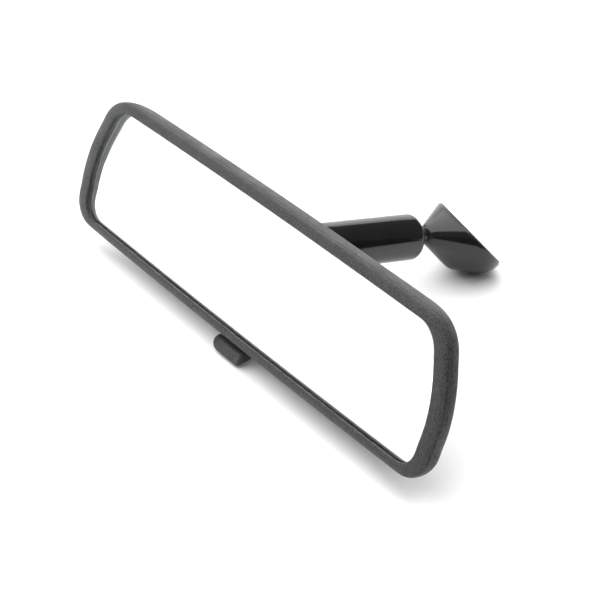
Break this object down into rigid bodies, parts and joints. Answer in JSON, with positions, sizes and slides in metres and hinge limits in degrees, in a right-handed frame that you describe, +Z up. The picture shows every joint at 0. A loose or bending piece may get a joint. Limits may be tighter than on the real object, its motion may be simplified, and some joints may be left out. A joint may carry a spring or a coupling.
{
  "type": "interior rearview mirror",
  "caption": "Prismatic day/night rearview mirror: long rounded head with flip lever, on a black tube stay with a ball joint at each end and a cone foot for the windscreen.",
  "frame": {"origin": "centre of the foot's bond face, on the outer face of the adhesive pad", "axes": "+X along the mirror head, +Z up with the mirror lying on a table on its lever tip and foot, +Y from the glass towards the foot; the glass faces -Y, leaning back 16.5 degrees, and the bond face points up and back, turned 12.6 degrees about the stay"},
  "size_m": [0.2484, 0.1445, 0.071],
  "materials": {
    "case_plastic": "finely grained moulded plastic, dark grey-black",
    "lever_plastic": "smooth moulded plastic, black",
    "glass": "clear wedge glass, polished",
    "silvering": "silvered film behind the glass",
    "foam": "closed-cell foam strip",
    "steel": "zinc plated",
    "zinc": "die-cast zinc, dull",
    "spring_steel": "oiled spring steel",
    "acetal": "natural acetal",
    "gloss_black": "gloss black enamel on steel tube",
    "gloss_black_foot": "satin-gloss black enamel on die-cast zinc",
    "adhesive": "dark acrylic foam adhesive"
  },
  "bodies": {
    "foot": {"foot_body": "gloss_black_foot", "adhesive_pad": "adhesive", "foot_plate": "steel", "foot_screws": "steel", "foot_stud_nut": "steel", "foot_stud_washer": "steel", "foot_ball_stud": "steel"},
    "rear_liner": {"rear_ball_liner": "acetal"},
    "arm": {"arm_tube": "gloss_black", "rear_ball_seat": "acetal", "arm_spring": "spring_steel"},
    "front_seat": {"front_ball_seat": "acetal"},
    "front_liner": {"front_ball_liner": "acetal"},
    "bracket": {"head_ball_stud": "steel", "head_stud_nut": "steel", "head_stud_washer": "steel", "pivot_bracket": "zinc"},
    "head": {"rear_case": "case_plastic", "front_bezel": "case_plastic", "mirror_glass": "glass", "silver_backing": "silvering", "glass_cushions": "foam", "hinge_pin": "steel", "lever_pin": "steel", "detent_spring": "spring_steel", "spring_screw": "steel"},
    "lever": {"day_night_lever": "lever_plastic"}
  },
  "joints": [
    {"name": "arm_yaw", "type": "hinge", "parent": "foot", "child": "rear_liner", "pos_m": [0.0003, -0.04082, 0.01], "axis": [0, 0, 1], "range_deg": [-20, 20]},
    {"name": "arm_pitch", "type": "hinge", "parent": "rear_liner", "child": "arm", "pos_m": [0.0003, -0.04082, 0.01], "axis": [1, 0, 0], "range_deg": [-15, 15]},
    {"name": "head_roll", "type": "hinge", "parent": "arm", "child": "front_seat", "pos_m": [0.0003, -0.08358, 0.01901], "axis": [0, 0.9785, -0.2062], "range_deg": [-25, 25]},
    {"name": "head_yaw", "type": "hinge", "parent": "front_seat", "child": "front_liner", "pos_m": [0.0003, -0.08358, 0.01901], "axis": [0, 0, 1], "range_deg": [-20, 20]},
    {"name": "head_pitch", "type": "hinge", "parent": "front_liner", "child": "bracket", "pos_m": [0.0003, -0.08358, 0.01901], "axis": [1, 0, 0], "range_deg": [-14, 20]},
    {"name": "case_tip", "type": "hinge", "parent": "bracket", "child": "head", "pos_m": [0.0003, -0.10239, 0.03558], "axis": [1, 0, 0], "range_deg": [0, 4.32]},
    {"name": "lever_flip", "type": "hinge", "parent": "head", "child": "lever", "pos_m": [0.0003, -0.12046, -0.0034], "axis": [1, 0, 0], "range_deg": [0, 32.05]}
  ],
  "couplings": [
    {"joint": "lever_flip", "follows": "case_tip", "ratio": 7.399}
  ]
}
